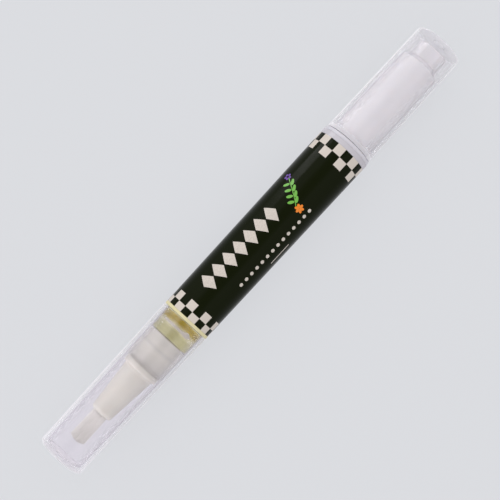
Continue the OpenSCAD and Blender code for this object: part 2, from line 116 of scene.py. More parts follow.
def tube_faces(rings, sides, first=0, flip=False):
    """Quads between rings of points, with a cap on each end."""
    faces = []
    for ring in range(rings - 1):
        a = first + ring * sides
        for k in range(sides):
            faces.append((a + k, a + (k + 1) % sides, a + sides + (k + 1) % sides, a + sides + k))
    last = first + (rings - 1) * sides
    faces.append(tuple(reversed(range(first, first + sides))))
    faces.append(tuple(range(last, last + sides)))
    if flip:
        faces = [tuple(reversed(face)) for face in faces]
    return faces


def lathe(outline, sides):
    """Points and faces of a closed solid turned about the pen's axis."""
    points = [
        around_axis(x, r, -FULL_TURN * k / sides) for x, r in outline for k in range(sides)
    ]
    return points, tube_faces(len(outline), sides)


# Shader parts

SOFT_FROM, SOFT_TO = 0.3, 0.7
BUMP_STRENGTH = 0.3


def start_material(name):
    """A node material with its nodes, its links and its Principled shader."""
    material = bpy.data.materials.new(name)
    material.use_nodes = True
    shader = material.node_tree.nodes["Principled BSDF"]
    return material, material.node_tree.nodes, material.node_tree.links, shader


def object_point(tree_nodes):
    """Output of a point in the object's own space, which is the frame's."""
    return tree_nodes.new("ShaderNodeTexCoord").outputs["Object"]


def object_xyz(tree_nodes, links):
    """Outputs X, Y and Z of a point in the object's own space."""
    point = tree_nodes.new("ShaderNodeSeparateXYZ")
    links.new(object_point(tree_nodes), point.inputs["Vector"])
    return point.outputs["X"], point.outputs["Y"], point.outputs["Z"]


def noise(tree_nodes, links, scale, detail=3, stretch=(1, 1, 1)):
    """Noise of a size per metre, stretched along the axes."""
    mapping = tree_nodes.new("ShaderNodeMapping")
    mapping.inputs["Scale"].default_value = stretch
    links.new(object_point(tree_nodes), mapping.inputs["Vector"])
    texture = tree_nodes.new("ShaderNodeTexNoise")
    texture.inputs["Scale"].default_value = scale
    texture.inputs["Detail"].default_value = detail
    links.new(mapping.outputs["Vector"], texture.inputs["Vector"])
    return texture.outputs["Fac"]


def ramp(tree_nodes, links, factor, stops):
    """Colour ramp over a factor. A stop is (place, colour)."""
    node = tree_nodes.new("ShaderNodeValToRGB")
    elements = node.color_ramp.elements
    while len(elements) < len(stops):
        elements.new(1)
    for element, (place, colour) in zip(elements, stops):
        element.position = place
        element.color = (*colour, 1)
    links.new(factor, node.inputs["Fac"])
    return node.outputs["Color"]


def ramp_along(tree_nodes, links, x, stops):
    """Colour ramp over places along the pen. A stop is (X in millimetres, colour)."""
    low, high = stops[0][0], stops[-1][0]
    node = tree_nodes.new("ShaderNodeMapRange")
    node.inputs["From Min"].default_value = low * MM
    node.inputs["From Max"].default_value = high * MM
    links.new(x, node.inputs["Value"])
    shares = [((place - low) / (high - low), colour) for place, colour in stops]
    return ramp(tree_nodes, links, node.outputs["Result"], shares)


def soft_ramp(tree_nodes, links, factor, dark, light):
    """Colour that goes softly from dark to light with a factor."""
    return ramp(tree_nodes, links, factor, [(SOFT_FROM, dark), (SOFT_TO, light)])


def greys(stops):
    """Stops of (place, grey) from stops of (place, level)."""
    return [(place, (level, level, level)) for place, level in stops]


def spread(tree_nodes, links, factor, low, high):
    """Factor from 0 to 1 spread between two values."""
    node = tree_nodes.new("ShaderNodeMapRange")
    node.inputs["To Min"].default_value = low
    node.inputs["To Max"].default_value = high
    links.new(factor, node.inputs["Value"])
    return node.outputs["Result"]


def set_input(links, socket, value):
    """Gives a socket a constant, or the output of another node."""
    if isinstance(value, bpy.types.NodeSocket):
        links.new(value, socket)
    else:
        socket.default_value = value


def calculate(tree_nodes, links, operation, *values):
    """Output of a Math node over outputs and numbers."""
    node = tree_nodes.new("ShaderNodeMath")
    node.operation = operation
    for socket, value in zip(node.inputs, values):
        set_input(links, socket, value)
    return node.outputs["Value"]


def mix_shaders(tree_nodes, links, share, base, other):
    """Mix of two shaders, with a share of the other over the base."""
    mix = tree_nodes.new("ShaderNodeMixShader")
    set_input(links, mix.inputs["Fac"], share)
    links.new(base, mix.inputs[1])
    links.new(other, mix.inputs[2])
    return mix.outputs["Shader"]


def bump(tree_nodes, links, shader, height, distance, strength=BUMP_STRENGTH):
    """Bump from a height, over a real distance in metres."""
    node = tree_nodes.new("ShaderNodeBump")
    node.inputs["Strength"].default_value = strength
    node.inputs["Distance"].default_value = distance
    links.new(height, node.inputs["Height"])
    links.new(node.outputs["Normal"], shader.inputs["Normal"])


# Clear plastic

CLEAR_IOR = 1.49
CLEAR_ROUGH = (0, 0.04)
FLOW_SCALE = 400
FLOW_STRETCH = (0.4, 1, 1)
THIN_ROUGH = 0.03
THIN_SHINE = 0.012
GRAZING_SHINE = 0.6
GRAZING_GLASS = 0.2
GRAZING_POWER = 5
VEIL_POWER = 3
BRIGHT_RIM = (0.95, 0.94, 0.96)
# Painted shade: the dark veil of the bores, which draws dark lines along the walls' edges.
RIM_PAINTED_SHADE = (0.63, 0.61, 0.66)


def thin_wall(tree_nodes, links, bending, colour, glass, rim):
    """Surface that bends only a share of the light as glass does, and passes the rest straight.

    Its shine grows at grazing angles, where a veil of the rim's colour covers it: a milky one when the
    rim is light, and painted shade when it is dark.
    """
    straight = tree_nodes.new("ShaderNodeBsdfTransparent")
    straight.inputs["Color"].default_value = (*colour, 1)
    gloss = tree_nodes.new("ShaderNodeBsdfAnisotropic")
    gloss.inputs["Roughness"].default_value = THIN_ROUGH
    facing = tree_nodes.new("ShaderNodeLayerWeight").outputs["Facing"]
    grazing = calculate(tree_nodes, links, "POWER", facing, GRAZING_POWER)
    shine = calculate(tree_nodes, links, "MULTIPLY_ADD", grazing, GRAZING_SHINE, THIN_SHINE)
    thin = mix_shaders(tree_nodes, links, shine, straight.outputs["BSDF"], gloss.outputs["BSDF"])
    share = calculate(tree_nodes, links, "MULTIPLY_ADD", grazing, GRAZING_GLASS * (1 - glass), glass)
    surface = mix_shaders(tree_nodes, links, share, thin, bending)
    veil = tree_nodes.new("ShaderNodeBsdfDiffuse")
    veil.inputs["Color"].default_value = (*rim, 1)
    edge = calculate(tree_nodes, links, "POWER", facing, VEIL_POWER)
    return mix_shaders(tree_nodes, links, edge, surface, veil.outputs["BSDF"])


def clear_plastic(name, colour, glass=1, painted_light_share=None, painted_light_colour=None, rim=BRIGHT_RIM):
    """Polished clear moulding with faint flow marks, of which a share is glass.

    A diffuse layer paints light and shade along the pen, its share given as stops of (X in millimetres,
    share) and its colours in the same way. Rim is the colour of the veil at grazing angles, and a dark
    rim paints shade.
    """
    material, tree_nodes, links, shader = start_material(name)
    shader.inputs["Base Color"].default_value = (*colour, 1)
    shader.inputs["Transmission Weight"].default_value = 1
    shader.inputs["IOR"].default_value = CLEAR_IOR
    marks = noise(tree_nodes, links, FLOW_SCALE, stretch=FLOW_STRETCH)
    links.new(spread(tree_nodes, links, marks, *CLEAR_ROUGH), shader.inputs["Roughness"])
    surface = shader.outputs["BSDF"]
    if glass < 1:
        surface = thin_wall(tree_nodes, links, surface, colour, glass, rim)
    # Painted light and shade: a diffuse layer mixed in along the pen.
    if painted_light_share:
        x, _, _ = object_xyz(tree_nodes, links)
        skin = tree_nodes.new("ShaderNodeBsdfDiffuse")
        links.new(ramp_along(tree_nodes, links, x, painted_light_colour), skin.inputs["Color"])
        share = ramp_along(tree_nodes, links, x, greys(painted_light_share))
        surface = mix_shaders(tree_nodes, links, share, surface, skin.outputs["BSDF"])
    links.new(surface, tree_nodes["Material Output"].inputs["Surface"])
    return material


CAP_COLOUR = (0.998, 0.986, 1)
CAP_GLASS = 0.05
BARREL_COLOUR = (0.995, 0.99, 0.98)
# Painted light: a cream layer where the shoulder's rim is drawn lit; painted shade in grey on the tail
# rim.
BARREL_PAINTED_LIGHT = [
    (-23.95, 0),
    (-23.75, 0.85),
    (-22.95, 0.85),
    (-22.85, 0),
    (32, 0),
    (32.15, 0.75),
    (33.7, 0.75),
]
BARREL_PAINTED_LIGHT_TINT = [(-23, (0.75, 0.68, 0.42)), (-22, (0.65, 0.62, 0.67)), (33, (0.65, 0.62, 0.67))]
KNOB_COLOUR = (0.985, 0.975, 0.985)
# Painted light in the knob's mouth: a pale layer that lightens the shade of the gap in front of the
# sleeve.
KNOB_LOOK = {
    "glass": 0.2,
    "painted_light_share": [(34.5, 0.5), (35.6, 0.45), (35.9, 0), (40, 0)],
    "painted_light_colour": [(34.5, (0.8, 0.78, 0.82)), (40, (0.8, 0.78, 0.82))],
}

clear_cap = clear_plastic("clear_cap_plastic", CAP_COLOUR, glass=CAP_GLASS)
# The bore materials carry a dark veil of painted shade.
cap_bore = clear_plastic("cap_bore_plastic", CAP_COLOUR, glass=CAP_GLASS, rim=RIM_PAINTED_SHADE)
clear_barrel = clear_plastic(
    "clear_barrel_plastic", BARREL_COLOUR, painted_light_share=BARREL_PAINTED_LIGHT, painted_light_colour=BARREL_PAINTED_LIGHT_TINT
)
clear_knob = clear_plastic("clear_knob_plastic", KNOB_COLOUR, **KNOB_LOOK)
knob_bore = clear_plastic("knob_bore_plastic", KNOB_COLOUR, rim=RIM_PAINTED_SHADE, **KNOB_LOOK)


# White plastic

MOTTLE_SCALE = 180
GRAIN_SCALE = 9000
FINE_DETAIL = 2
WHITE_ROUGH = 0.35
GRAIN_ROUGH = 0.06
GRAIN_DEPTH = 0.01 * MM
SKIN_LIGHT = 0.2
SKIN_RADIUS = (1, 0.8, 0.7)
SKIN_DEPTH = 0.6 * MM
PAINTED_HIGHLIGHT = (0.95, 0.93, 0.87)
# Painted highlights on the nozzle: its tip, and the chamfer of its flange.
NOZZLE_PAINTED_HIGHLIGHTS = [
    (-54.6, 0.4),
    (-53.4, 0.4),
    (-52.6, 0),
    (-41, 0),
    (-40.6, 0.36),
    (-40, 0.36),
    (-39.6, 0),
]


def painted_highlights(tree_nodes, links, colour, highlight_stops):
    """Colour with a share of painted highlight along the pen, from stops of (X in millimetres, share).
    """
    x, _, _ = object_xyz(tree_nodes, links)
    mix = tree_nodes.new("ShaderNodeMixRGB")
    links.new(ramp_along(tree_nodes, links, x, greys(highlight_stops)), mix.inputs["Fac"])
    links.new(colour, mix.inputs["Color1"])
    mix.inputs["Color2"].default_value = (*PAINTED_HIGHLIGHT, 1)
    return mix.outputs["Color"]


def white_plastic(name, light, dark, highlight_stops=None):
    """Moulded opaque plastic: a soft mottle, fine grain, a little light under the skin, and painted
    highlights where their stops are given.
    """
    material, tree_nodes, links, shader = start_material(name)
    mottle = noise(tree_nodes, links, MOTTLE_SCALE, detail=FINE_DETAIL)
    colour = soft_ramp(tree_nodes, links, mottle, dark, light)
    if highlight_stops:
        colour = painted_highlights(tree_nodes, links, colour, highlight_stops)
    links.new(colour, shader.inputs["Base Color"])
    grain = noise(tree_nodes, links, GRAIN_SCALE, detail=FINE_DETAIL)
    rough = spread(tree_nodes, links, grain, WHITE_ROUGH - GRAIN_ROUGH, WHITE_ROUGH + GRAIN_ROUGH)
    links.new(rough, shader.inputs["Roughness"])
    shader.inputs["Subsurface Weight"].default_value = SKIN_LIGHT
    shader.inputs["Subsurface Radius"].default_value = SKIN_RADIUS
    shader.inputs["Subsurface Scale"].default_value = SKIN_DEPTH
    bump(tree_nodes, links, shader, grain, GRAIN_DEPTH)
    return material


nozzle_white = white_plastic(
    "nozzle_plastic", (0.665, 0.65, 0.59), (0.625, 0.61, 0.555), highlight_stops=NOZZLE_PAINTED_HIGHLIGHTS
)
sleeve_white = white_plastic("sleeve_plastic", (0.8, 0.795, 0.81), (0.77, 0.765, 0.785))
part_white = white_plastic("drive_plastic", (0.86, 0.86, 0.84), (0.82, 0.82, 0.8))
# The guide nut's darker lavender grey is painted shade of the gap in the knob's mouth.
nut_white = white_plastic("nut_plastic", (0.6, 0.58, 0.63), (0.56, 0.54, 0.59))


# Plug, oil and bristle

PLUG_MILKY = (0.97, 0.955, 0.885)
# Painted shade: the colours below lay darker bands along the plug, the darkest a line at its front.
PLUG_SHADED = (0.87, 0.86, 0.81)
PLUG_EDGE_SHADE = (0.75, 0.735, 0.69)
PLUG_SHADE_STOPS = [
    (-38.6, PLUG_MILKY),
    (-38.1, PLUG_EDGE_SHADE),
    (-37.8, PLUG_EDGE_SHADE),
    (-37.1, PLUG_SHADED),
    (-34.6, PLUG_MILKY),
    (-33.9, PLUG_MILKY),
    (-33.2, PLUG_SHADED),
    (-32.5, PLUG_MILKY),
]
PLUG_MOTTLE_SCALE = 260
PLUG_MOTTLE_SHIFT = 1.2 * MM
NOISE_MIDDLE = 0.5


def plug_material():
    """Milky natural plastic of the neck plug, which the spigot and the oil show through.

    Darker bands of painted shade lie along it: a dark line at its front, beside the nozzle's flange,
    and a band near the spigot's end.
    """
    material, tree_nodes, links, shader = start_material("plug_plastic")
    number = partial(calculate, tree_nodes, links)
    x, _, _ = object_xyz(tree_nodes, links)
    mottle = number("SUBTRACT", noise(tree_nodes, links, PLUG_MOTTLE_SCALE), NOISE_MIDDLE)
    place = number("MULTIPLY_ADD", mottle, PLUG_MOTTLE_SHIFT, x)
    links.new(ramp_along(tree_nodes, links, place, PLUG_SHADE_STOPS), shader.inputs["Base Color"])
    shader.inputs["Roughness"].default_value = 0.3
    shader.inputs["IOR"].default_value = 1.5
    return material


OIL_THIN = (0.73, 0.71, 0.47)
OIL_PALE = (0.92, 0.89, 0.76)
OIL_DEEP = (0.54, 0.4, 0.005)
OIL_STOPS = [
    (-29.9, OIL_PALE),
    (-29.3, OIL_THIN),
    (-27.4, OIL_THIN),
    (-26.8, OIL_PALE),
    (-26.1, OIL_PALE),
    (-25.2, OIL_DEEP),
    (-24.2, OIL_DEEP),
    (-23.7, OIL_PALE),
]
OIL_BOW = 0.7 * MM
OIL_ABSORBS = (0.78, 0.74, 0.1, 1)
OIL_DENSITY = 60


def oil_material():
    """Clear golden oil, deepest at the shoulder, where the sight bends into the chamber."""
    material, tree_nodes, links, shader = start_material("golden_oil")
    number = partial(calculate, tree_nodes, links)
    x, y, _ = object_xyz(tree_nodes, links)
    beside = number("DIVIDE", y, radius("neck_plug"))
    beside = number("MULTIPLY", beside, beside)
    place = number("MULTIPLY_ADD", beside, OIL_BOW, x)
    links.new(ramp_along(tree_nodes, links, place, OIL_STOPS), shader.inputs["Base Color"])
    shader.inputs["Transmission Weight"].default_value = 1
    shader.inputs["Roughness"].default_value = 0
    shader.inputs["IOR"].default_value = 1.47
    absorb = tree_nodes.new("ShaderNodeVolumeAbsorption")
    absorb.inputs["Color"].default_value = OIL_ABSORBS
    absorb.inputs["Density"].default_value = OIL_DENSITY
    links.new(absorb.outputs["Volume"], tree_nodes["Material Output"].inputs["Volume"])
    return material


BRISTLE_SCALE = 2500
BRISTLE_DARK = (0.77, 0.755, 0.72)
BRISTLE_LIGHT = (0.84, 0.825, 0.79)


def bristle_material():
    """Nylon filament with a fine mottle."""
    material, tree_nodes, links, shader = start_material("bristle_nylon")
    mottle = noise(tree_nodes, links, BRISTLE_SCALE)
    colour = soft_ramp(tree_nodes, links, mottle, BRISTLE_DARK, BRISTLE_LIGHT)
    links.new(colour, shader.inputs["Base Color"])
    shader.inputs["Roughness"].default_value = 0.4
    return material


# Film of the label

INK_BLACK = (0.0048, 0.0068, 0.0008)
INK_WHITE = (0.585, 0.525, 0.475)
CELL_ANGLE = math.radians(20)
LEFT_CELL = 2.24 * MM
LEFT_SPLIT = span("label")[0] + 1.8 * MM
LEFT_START = math.radians(1.6)
RIGHT_CELL = 2.4 * MM
RIGHT_SPLIT = span("label")[1] - RIGHT_CELL
RIGHT_START = math.radians(34.6)
SMEAR_SCALE = 500
SMEAR_STRETCH = (0.3, 1, 1)
SMEAR_ROUGH = (0.12, 0.22)
SMEAR_DEPTH = 0.01 * MM
SMEAR_STRENGTH = 0.15
BACKING_WHITE = (0.82, 0.8, 0.76)


def checkers(number, x, angle, split, cell, start):
    """1 on every second cell of two columns, which meet at split, and 0 elsewhere."""
    column = number("FLOOR", number("DIVIDE", number("SUBTRACT", x, split), cell))
    row = number("FLOOR", number("DIVIDE", number("SUBTRACT", angle, start), CELL_ANGLE))
    odd = number("FLOORED_MODULO", number("ADD", column, row), 2)
    inside = number("LESS_THAN", number("ABSOLUTE", number("SUBTRACT", x, split)), cell)
    return number("MULTIPLY", number("SUBTRACT", 1, odd), inside)


def label_material():
    """Glossy printed film: near black, with a checkered band at each end."""
    material, tree_nodes, links, shader = start_material("printed_film")
    number = partial(calculate, tree_nodes, links)
    x, y, z = object_xyz(tree_nodes, links)
    angle = number("ARCTAN2", y, number("SUBTRACT", z, AXIS_Z))
    left = checkers(number, x, angle, LEFT_SPLIT, LEFT_CELL, LEFT_START)
    right = checkers(number, x, angle, RIGHT_SPLIT, RIGHT_CELL, RIGHT_START)
    colour = soft_ramp(tree_nodes, links, number("ADD", left, right), INK_BLACK, INK_WHITE)
    links.new(colour, shader.inputs["Base Color"])
    smear = noise(tree_nodes, links, SMEAR_SCALE, stretch=SMEAR_STRETCH)
    links.new(spread(tree_nodes, links, smear, *SMEAR_ROUGH), shader.inputs["Roughness"])
    shader.inputs["Specular IOR Level"].default_value = 0.06
    shader.inputs["Sheen Weight"].default_value = 0.15
    shader.inputs["Sheen Roughness"].default_value = 0.3
    bump(tree_nodes, links, shader, smear, SMEAR_DEPTH, SMEAR_STRENGTH)
    return material


def backing_material():
    """White film of the label's inner face and cut edges."""
    material, _, _, shader = start_material("label_backing")
    shader.inputs["Base Color"].default_value = (*BACKING_WHITE, 1)
    shader.inputs["Roughness"].default_value = 0.5
    return material


plug_grey = plug_material()
oil_gold = oil_material()
bristle_nylon = bristle_material()
film = label_material()


# CAD nodes that stay

MATERIAL_OF = {
    "cap": clear_cap,
    "barrel": clear_barrel,
    "knob_shell": clear_knob,
    "nozzle": nozzle_white,
    "brush_ferrule": nozzle_white,
    "feed_tube": nozzle_white,
    "neck_plug": plug_grey,
    "label": film,
    "piston": part_white,
    "guide_nut": nut_white,
    "click_ring": part_white,
    "drive_sleeve": sleeve_white,
}
BORE_LIMIT = -0.3
BACK_LIMIT = 0.5


def dress(node, material):
    """Gives a CAD node its material."""
    mesh = nodes[node].data
    mesh.materials.clear()
    mesh.materials.append(material)


def line_inside(node, material, limit):
    """Gives a CAD node's faces that look away from the pen's axis less than a limit another material.

    A face that looks straight away from the axis counts 1, and one that looks straight at it -1.
    """
    mesh = nodes[node].data
    mesh.materials.append(material)
    for polygon in mesh.polygons:
        out = Vector((0, polygon.center.y, polygon.center.z - AXIS_Z)).normalized()
        if polygon.normal.dot(out) < limit:
            polygon.material_index = 1


for node, material in MATERIAL_OF.items():
    dress(node, material)
# The bores of the cap and the knob take the veil of painted shade.
line_inside("cap", cap_bore, BORE_LIMIT)
line_inside("knob_shell", knob_bore, BORE_LIMIT)
line_inside("label", backing_material(), BACK_LIMIT)


# Tuft

def tuft():
    """Nylon filaments on a sunflower spiral round the feed tube, with a rounded end."""
    count = 1500
    sides = 5
    seed = random.Random(7)
    golden_angle = math.pi * (3 - math.sqrt(5))
    tip, _ = span("brush_tuft")
    mouth, _ = span("brush_ferrule")
    depth = 4 * MM
    root = mouth + depth
    inner_gap, outer_gap = 0.05 * MM, 0.06 * MM
    inner = radius("feed_tube") + inner_gap
    outer = radius("brush_tuft") - outer_gap
    crown = 0.7 * MM
    stagger = 0.15 * MM
    most_lean = 0.04
    gathered, spread_out = 0.93, 0.07
    thick = 0.05 * MM
    levels = ((0, 1), (0.3, 1), (0.62, 0.95), (0.9, 0.85), (1, 0.6))
    points, faces = [], []
    for i in range(count):
        r = math.sqrt(inner**2 + (outer**2 - inner**2) * (i + 0.5) / count)
        angle = i * golden_angle
        end = tip + crown * (r / outer) ** 2 + seed.uniform(0, stagger)
        lean = seed.uniform(-most_lean, most_lean)
        first = len(points)
        for share, width in levels:
            x = root + (end - root) * share
            place = angle + lean * share**2
            centre = Vector(around_axis(x, r * (gathered + spread_out * share), place))
            for k in range(sides):
                turn = FULL_TURN * k / sides
                side = Vector((0, thick * width * math.cos(turn), thick * width * math.sin(turn)))
                points.append(centre + side)
        faces += tube_faces(len(levels), sides, first, flip=True)
    piece = new_piece("tuft", points, faces, bristle_nylon, "pen_body")
    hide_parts("brush_tuft")


tuft()


# Oil

def oil():
    """Oil in the neck, and oil in the chamber that gives way to the piston."""
    outline = outline_of("oil_fill")
    wet = 0.03 * MM
    nearly = 0.01 * MM
    sides = 96
    chamber_r = radius("oil_fill")
    chamber_x = next(x for x, r in outline if r > chamber_r - nearly)
    front_x = outline[-1][0]
    points, faces = lathe([(x, r + wet) for x, r in outline if x <= chamber_x], sides)
    piece = new_piece("oil_in_neck", points, faces, oil_gold, "pen_body")
    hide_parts("oil_fill")
    points, faces = lathe([(chamber_x, chamber_r + wet), (front_x, chamber_r + wet)], sides)
    piece = new_piece("oil_in_chamber", points, faces, oil_gold, "pen_body")
    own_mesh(piece)


oil()


# Air bubble

# Painted reflection: the bubble is drawn as a bright warm white surface.
BUBBLE_SCALE = 900
BUBBLE_DARK = (1, 0.92, 0.8)
BUBBLE_LIGHT = (1, 0.95, 0.85)
BUBBLE_CLEAR = 0.05


def bubble_material():
    """Painted reflection: a bright, nearly opaque surface that stands for the light the bubble
    reflects.
    """
    material, tree_nodes, links, shader = start_material("bubble_painted_reflection")
    soft = noise(tree_nodes, links, BUBBLE_SCALE)
    colour = soft_ramp(tree_nodes, links, soft, BUBBLE_DARK, BUBBLE_LIGHT)
    links.new(colour, shader.inputs["Base Color"])
    shader.inputs["Roughness"].default_value = 0.1
    clear = tree_nodes.new("ShaderNodeBsdfTransparent")
    surface = mix_shaders(
        tree_nodes, links, BUBBLE_CLEAR, shader.outputs["BSDF"], clear.outputs["BSDF"]
    )
    links.new(surface, tree_nodes["Material Output"].inputs["Surface"])
    return material


def bubble():
    """The air bubble under the top of the neck: a thin arc that swells at its end."""
    x = -26.4 * MM
    start, end = math.radians(58), math.radians(-50)
    steps, sides = 28, 10
    proud = 0.12 * MM
    top = radius("neck_plug") + proud
    swell_at, swell_reach, swell_shift = 0.84, 0.1, 0.2 * MM
    least_taper, bluntness = 0.0004, 8
    width, more_width = 0.34, 0.42
    thickness, more_thickness = 0.06, 0.03
    points = []
    for i in range(steps + 1):
        share = i / steps
        swell = math.exp(-(((share - swell_at) / swell_reach) ** 2))
        taper = math.sqrt(max(least_taper, 1 - (2 * share - 1) ** bluntness))
        wide = (width + more_width * swell) * MM * taper
        thick = (thickness + more_thickness * swell) * MM * taper
        angle = start + (end - start) * share
        for k in range(sides):
            turn = FULL_TURN * k / sides
            r = top - thick + thick * math.cos(turn)
            points.append(around_axis(x + swell_shift * swell + wide * math.sin(turn), r, angle))
    skin = bubble_material()
    new_piece("air_bubble", points, tube_faces(steps + 1, sides), skin, "pen_body")


bubble()


# Print on the label, whose sizes are in millimetres along the pen and round it

INK_GRAIN_SCALE = 3000
INK_SHADE = 0.88
INK_FROM, INK_TO = 0.35, 0.6
PRINT_ABOVE = 0.012 * MM
PRINT_BELOW = -0.02 * MM
PRINT_RINGS = 5
EDGE_STEP = 0.4
ELLIPSE_SIDES = 28
label_rings = outline_of("label")


def ink(name, colour):
    """Flat printed ink under the gloss of the label."""
    material, tree_nodes, links, shader = start_material(name)
    grain = noise(tree_nodes, links, INK_GRAIN_SCALE, detail=FINE_DETAIL)
    dark = tuple(INK_SHADE * channel for channel in colour)
    grained = ramp(tree_nodes, links, grain, [(INK_FROM, dark), (INK_TO, colour)])
    links.new(grained, shader.inputs["Base Color"])
    shader.inputs["Roughness"].default_value = 0.2
    shader.inputs["Specular IOR Level"].default_value = 0.25
    return material


def on_label(x, s, lift):
    """The point of the label at a place along it and round it, lifted off its face."""
    (x0, r0), (x1, r1) = label_rings[0], label_rings[-1]
    r = r0 + (r1 - r0) * (x - x0) / (x1 - x0)
    return around_axis(x, r + lift, s / r)


def along_edges(shape, step):
    """The points of a shape, with more between them so that none are further apart than a step."""
    points = []
    for (x0, s0), (x1, s1) in zip(shape, shape[1:] + shape[:1]):
        parts = max(1, math.ceil(math.hypot(x1 - x0, s1 - s0) / step))
        points += [(x0 + (x1 - x0) * k / parts, s0 + (s1 - s0) * k / parts) for k in range(parts)]
    return points


def printed(name, shapes, material):
    """Thin printed shapes on the label. A shape is a list of (x, s) in millimetres round its middle."""
    points, faces = [], []
    for shape in shapes:
        edge = along_edges(shape, EDGE_STEP)
        count = len(edge)
        cx, cs = (sum(values) / count for values in zip(*edge))
        for lift, up in ((PRINT_ABOVE, True), (PRINT_BELOW, False)):
            first = len(points)
            points.append(on_label(cx * MM, cs * MM, lift))
            for ring in range(1, PRINT_RINGS + 1):
                share = ring / PRINT_RINGS
                points += [
                    on_label((cx + (x - cx) * share) * MM, (cs + (s - cs) * share) * MM, lift)
                    for x, s in edge
                ]
            made = []
            for k in range(count):
                a, b = first + 1 + k, first + 1 + (k + 1) % count
                made.append((first, a, b))
                for ring in range(PRINT_RINGS - 1):
                    made.append((a, a + count, b + count, b))
                    a, b = a + count, b + count
            faces += made if up else [tuple(reversed(face)) for face in made]
        half = 1 + PRINT_RINGS * count
        top = len(points) - half - count
        for k in range(count):
            a, b = top + k, top + (k + 1) % count
            faces.append((a, a + half, b + half, b))
    new_piece(name, points, faces, material, "pen_body")


def ellipse(x, s, length, width, turn=0):
    """Ellipse about (x, s), whose length is turned from +X towards +s by degrees."""
    turn = math.radians(turn)
    shape = []
    for k in range(ELLIPSE_SIDES):
        angle = FULL_TURN * k / ELLIPSE_SIDES
        a, b = length / 2 * math.cos(angle), width / 2 * math.sin(angle)
        shape.append(
            (x + a * math.cos(turn) - b * math.sin(turn), s + a * math.sin(turn) + b * math.cos(turn))
        )
    return shape


def lozenge(x, s, length, width):
    """Upright lozenge about (x, s)."""
    return [(x + length / 2, s), (x, s + width / 2), (x - length / 2, s), (x, s - width / 2)]


def angles(count):
    """Angles evenly round a circle."""
    return [FULL_TURN * k / count for k in range(count)]


def print_rows():
    """A row of lozenges, a row of dots and a thin rule."""
    white = ink("ink_white", INK_WHITE)
    first, pitch, count = -13.2, 3.65, 7
    side, length, width = 2.3, 3.3, 5.2
    lozenges = [lozenge(first + pitch * k, side, length, width) for k in range(count)]
    printed("lozenge_row", lozenges, white)

    first, pitch, count = -8.5, 1.85, 14
    side, size = -4.3, 0.95
    dots = [ellipse(first + pitch * k, side, size, size) for k in range(count)]
    printed("dot_row", dots, white)

    start, end = 0.2, 6.4
    low, high = -7.1, -6.85
    printed("rule", [[(start, low), (end, low), (end, high), (start, high)]], white)


def print_sprig():
    """A sprig: a bowed stem with leaves on both sides, berries at its top and a blossom at its foot."""
    foot_x, foot_s = 14, -0.9
    run, rise, bow = 4.2, 6.6, 1.6
    steps = 10
    half = 0.12
    stem = [
        (foot_x + run * t, foot_s + rise * t - bow * t * (1 - t))
        for t in (k / steps for k in range(steps + 1))
    ]
    bands = [
        [(x0 - half, s0), (x0 + half, s0), (x1 + half, s1), (x1 - half, s1)]
        for (x0, s0), (x1, s1) in zip(stem, stem[1:])
    ]
    leaf_away, leaf_up, leaf_length, leaf_width, leaf_turn = 0.95, 0.45, 1.7, 0.75, 55
    leaves = []
    for k in range(1, steps - 1):
        x, s = stem[k]
        side = 1 if k % 2 else -1
        turn = 90 - side * leaf_turn
        leaves.append(ellipse(x + side * leaf_away, s + leaf_up, leaf_length, leaf_width, turn))
    printed("sprig_stem", bands + leaves, ink("ink_green", (0.16, 0.42, 0.07)))

    ring = 0.62
    top_x, top_s = stem[-1]
    berry_count, berry_up, berry_size = 5, 0.4, 0.68
    berries = [
        ellipse(
            top_x + ring * math.cos(a), top_s + berry_up + ring * math.sin(a), berry_size, berry_size
        )
        for a in angles(berry_count)
    ]
    printed("sprig_berries", berries, ink("ink_purple", (0.16, 0.08, 0.34)))

    blossom_x, blossom_s = 14.2, -1.9
    petal_count, petal_length, petal_width = 6, 1.15, 0.72
    petals = [
        ellipse(
            blossom_x + ring * math.cos(a),
            blossom_s + ring * math.sin(a),
            petal_length,
            petal_width,
            math.degrees(a),
        )
        for a in angles(petal_count)
    ]
    printed("sprig_blossom", petals, ink("ink_orange", (0.8, 0.22, 0.02)))


print_rows()
print_sprig()


# Screw rod

THREAD_LEAD = 3 * MM
THREAD_STARTS = 2
THREAD_MINOR_R = 1.78 * MM
THREAD_MAJOR_R = radius("screw_rod")
HALF_FLATS = 1.65 * MM
FLANK_SLOPE = 4
FLANK_DROP = 0.6
LEAST_COSINE = 1e-6


def thread_radius(x, angle):
    """Radius of the rod's thread, which two flats cut through."""
    phase = (THREAD_STARTS * (x / THREAD_LEAD + angle / FULL_TURN)) % 1
    crest = min(1, max(0, FLANK_SLOPE * abs(phase - 0.5) - FLANK_DROP))
    flat_r = HALF_FLATS / max(LEAST_COSINE, abs(math.cos(angle)))
    return min(THREAD_MINOR_R + (THREAD_MAJOR_R - THREAD_MINOR_R) * crest, flat_r)


def threaded_rod():
    """The rod: its round head and neck, and its shank with a thread of two starts."""
    start, end = span("screw_rod")
    head, neck = 1.4 * MM, 1.7 * MM
    head_r, neck_r = 2.1 * MM, 1.6 * MM
    sides, step = 40, 0.125 * MM
    shank = start + head + neck
    count = round((end - shank) / step)
    round_rings = [(start, head_r), (start + head, head_r), (start + head, neck_r), (shank, neck_r)]
    thread_places = [shank + (end - shank) * i / count for i in range(count + 1)]
    turns = [-FULL_TURN * k / sides for k in range(sides)]
    points = [around_axis(x, r, angle) for x, r in round_rings for angle in turns]
    points += [
        around_axis(x, thread_radius(x, angle), angle) for x in thread_places for angle in turns
    ]
    faces = tube_faces(len(round_rings) + len(thread_places), sides)
    piece = new_piece("threaded_rod", points, faces, part_white, "rod")
    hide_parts("screw_rod")


threaded_rod()


# Camera, as far above the pen as the photograph's perspective says

